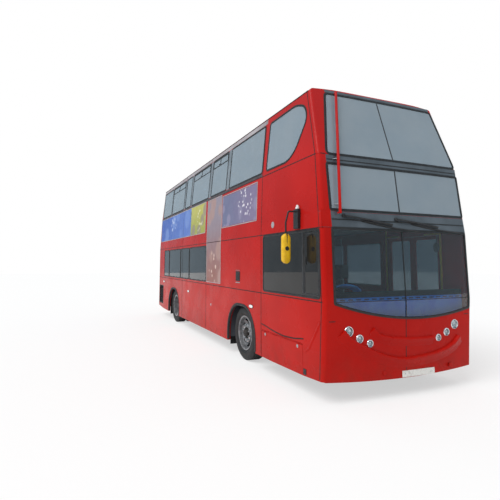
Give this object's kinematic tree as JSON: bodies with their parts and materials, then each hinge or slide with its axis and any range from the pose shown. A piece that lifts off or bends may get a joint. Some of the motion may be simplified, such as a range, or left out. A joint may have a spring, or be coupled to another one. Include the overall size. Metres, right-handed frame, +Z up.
{
  "type": "double decker bus",
  "caption": "Two-deck city bus with gliding doors on the nearside, stairs inside, steered front wheels, twin rear wheels and a lifting engine door",
  "frame": {"origin": "on the ground under the middle of the bus, centre of the bottom of its bounding box", "axes": "+X to the front, +Y to the nearside with the passenger doors, +Z up"},
  "size_m": [10.1099, 3.07, 4.2499],
  "materials": {
    "black_plastic": "moulded black plastic",
    "blue_plastic": "grained blue moulding",
    "chassis_paint": "black chassis paint",
    "engine_iron": "engine castings",
    "floor_vinyl": "speckled safety flooring on plywood",
    "grey_laminate": "grey laminate",
    "lamp_glass": "clear lamp lenses with chrome bezels",
    "plate_plastic": "blank reflective plates",
    "rail_coat": "yellow powder coat",
    "rear_lamp_plastic": "red and amber lenses",
    "red_paint": "gloss coach paint over aluminium and GRP panels",
    "seat_fabric": "wool moquette on padded seats",
    "tinted_glass": "grey tinted toughened glass",
    "tyre_rubber": "black tyre rubber",
    "wheel_steel": "silver painted pressed steel",
    "yellow_paint": "yellow moulded plastic"
  },
  "bodies": {
    "root": {"between_deck_panels": "red_paint", "cab_partition": "grey_laminate", "chassis_frame": "chassis_paint", "dashboard": "blue_plastic", "driver_seat": "seat_fabric", "end_glass": "tinted_glass", "engine_block": "engine_iron", "front_axle": "chassis_paint", "front_header": "black_plastic", "front_mask": "red_paint", "front_pillars": "red_paint", "guard_pole": "red_paint", "handrails": "rail_coat", "headlamps": "lamp_glass", "lower_floor": "floor_vinyl", "lower_seats": "seat_fabric", "lower_window_panels": "red_paint", "mirror_arms": "black_plastic", "mirror_housings": "yellow_paint", "number_plates": "plate_plastic", "rear_axle": "chassis_paint", "rear_lamps": "rear_lamp_plastic", "rear_lower_panel": "red_paint", "rear_upper_panel": "red_paint", "roof": "red_paint", "side_glass": "tinted_glass", "side_grilles": "black_plastic", "skirt_panels": "red_paint", "staircase": "floor_vinyl", "steering_wheel": "black_plastic", "upper_floor": "floor_vinyl", "upper_front_surround": "red_paint", "upper_seats": "seat_fabric", "upper_window_panels": "red_paint", "wipers": "black_plastic"},
    "knuckle_offside": {"steering_knuckle_offside": "chassis_paint"},
    "wheel_front_offside": {"front_tyre_offside": "tyre_rubber", "front_wheel_offside": "wheel_steel"},
    "wheels_rear_offside": {"rear_tyres_offside": "tyre_rubber", "rear_wheels_offside": "wheel_steel"},
    "knuckle_nearside": {"steering_knuckle_nearside": "chassis_paint"},
    "wheel_front_nearside": {"front_tyre_nearside": "tyre_rubber", "front_wheel_nearside": "wheel_steel"},
    "wheels_rear_nearside": {"rear_tyres_nearside": "tyre_rubber", "rear_wheels_nearside": "wheel_steel"},
    "front_door_arm_rear": {"front_door_post_rear": "black_plastic"},
    "front_door_panel_rear": {"front_door_leaf_rear": "red_paint", "front_door_glass_rear": "tinted_glass"},
    "front_door_arm_fore": {"front_door_post_fore": "black_plastic"},
    "front_door_panel_fore": {"front_door_leaf_fore": "red_paint", "front_door_glass_fore": "tinted_glass"},
    "centre_door_arm_rear": {"centre_door_post_rear": "black_plastic"},
    "centre_door_panel_rear": {"centre_door_leaf_rear": "red_paint", "centre_door_glass_rear": "tinted_glass"},
    "centre_door_arm_fore": {"centre_door_post_fore": "black_plastic"},
    "centre_door_panel_fore": {"centre_door_leaf_fore": "red_paint", "centre_door_glass_fore": "tinted_glass"},
    "engine_cover": {"engine_door": "red_paint"},
    "hatch": {"service_hatch": "red_paint"}
  },
  "joints": [
    {"name": "steer_offside", "type": "hinge", "parent": "root", "child": "knuckle_offside", "pos_m": [2.32, -0.9, 0.478], "axis": [0, 0, 1], "range_deg": [-40, 40]},
    {"name": "roll_front_offside", "type": "hinge", "parent": "knuckle_offside", "child": "wheel_front_offside", "pos_m": [2.32, -1.06, 0.478], "axis": [0, 1, 0], "continuous": true},
    {"name": "roll_rear_offside", "type": "hinge", "parent": "root", "child": "wheels_rear_offside", "pos_m": [-2.9, -0.9, 0.478], "axis": [0, 1, 0], "continuous": true},
    {"name": "steer_nearside", "type": "hinge", "parent": "root", "child": "knuckle_nearside", "pos_m": [2.32, 0.9, 0.478], "axis": [0, 0, 1], "range_deg": [-40, 40]},
    {"name": "roll_front_nearside", "type": "hinge", "parent": "knuckle_nearside", "child": "wheel_front_nearside", "pos_m": [2.32, 1.06, 0.478], "axis": [0, 1, 0], "continuous": true},
    {"name": "roll_rear_nearside", "type": "hinge", "parent": "root", "child": "wheels_rear_nearside", "pos_m": [-2.9, 0.9, 0.478], "axis": [0, 1, 0], "continuous": true},
    {"name": "front_door_swing_rear", "type": "hinge", "parent": "root", "child": "front_door_arm_rear", "pos_m": [3.38, 1.182, 1.3], "axis": [0, 0, -1], "range_deg": [0, 80]},
    {"name": "front_door_glide_rear", "type": "hinge", "parent": "front_door_arm_rear", "child": "front_door_panel_rear", "pos_m": [3.68, 1.182, 1.3], "axis": [0, 0, 1], "range_deg": [0, 160]},
    {"name": "front_door_swing_fore", "type": "hinge", "parent": "root", "child": "front_door_arm_fore", "pos_m": [4.58, 1.182, 1.3], "axis": [0, 0, 1], "range_deg": [0, 80]},
    {"name": "front_door_glide_fore", "type": "hinge", "parent": "front_door_arm_fore", "child": "front_door_panel_fore", "pos_m": [4.28, 1.182, 1.3], "axis": [0, 0, -1], "range_deg": [0, 160]},
    {"name": "centre_door_swing_rear", "type": "hinge", "parent": "root", "child": "centre_door_arm_rear", "pos_m": [-0.42, 1.182, 1.3], "axis": [0, 0, -1], "range_deg": [0, 80]},
    {"name": "centre_door_glide_rear", "type": "hinge", "parent": "centre_door_arm_rear", "child": "centre_door_panel_rear", "pos_m": [-0.12, 1.182, 1.3], "axis": [0, 0, 1], "range_deg": [0, 160]},
    {"name": "centre_door_swing_fore", "type": "hinge", "parent": "root", "child": "centre_door_arm_fore", "pos_m": [0.78, 1.182, 1.3], "axis": [0, 0, 1], "range_deg": [0, 80]},
    {"name": "centre_door_glide_fore", "type": "hinge", "parent": "centre_door_arm_fore", "child": "centre_door_panel_fore", "pos_m": [0.48, 1.182, 1.3], "axis": [0, 0, -1], "range_deg": [0, 160]},
    {"name": "engine_door_lift", "type": "hinge", "parent": "root", "child": "engine_cover", "pos_m": [-5.045, 0, 1.45], "axis": [0, 1, 0], "range_deg": [0, 75]},
    {"name": "hatch_lift", "type": "hinge", "parent": "root", "child": "hatch", "pos_m": [3.8575, -1.254, 0.668], "axis": [-1, 0, 0], "range_deg": [0, 85]}
  ],
  "couplings": [
    {"joint": "steer_nearside", "follows": "steer_offside", "ratio": 1},
    {"joint": "front_door_glide_rear", "follows": "front_door_swing_rear", "ratio": 2},
    {"joint": "front_door_glide_fore", "follows": "front_door_swing_rear", "ratio": 2},
    {"joint": "front_door_swing_fore", "follows": "front_door_swing_rear", "ratio": 1},
    {"joint": "centre_door_glide_rear", "follows": "centre_door_swing_rear", "ratio": 2},
    {"joint": "centre_door_glide_fore", "follows": "centre_door_swing_rear", "ratio": 2},
    {"joint": "centre_door_swing_fore", "follows": "centre_door_swing_rear", "ratio": 1}
  ]
}
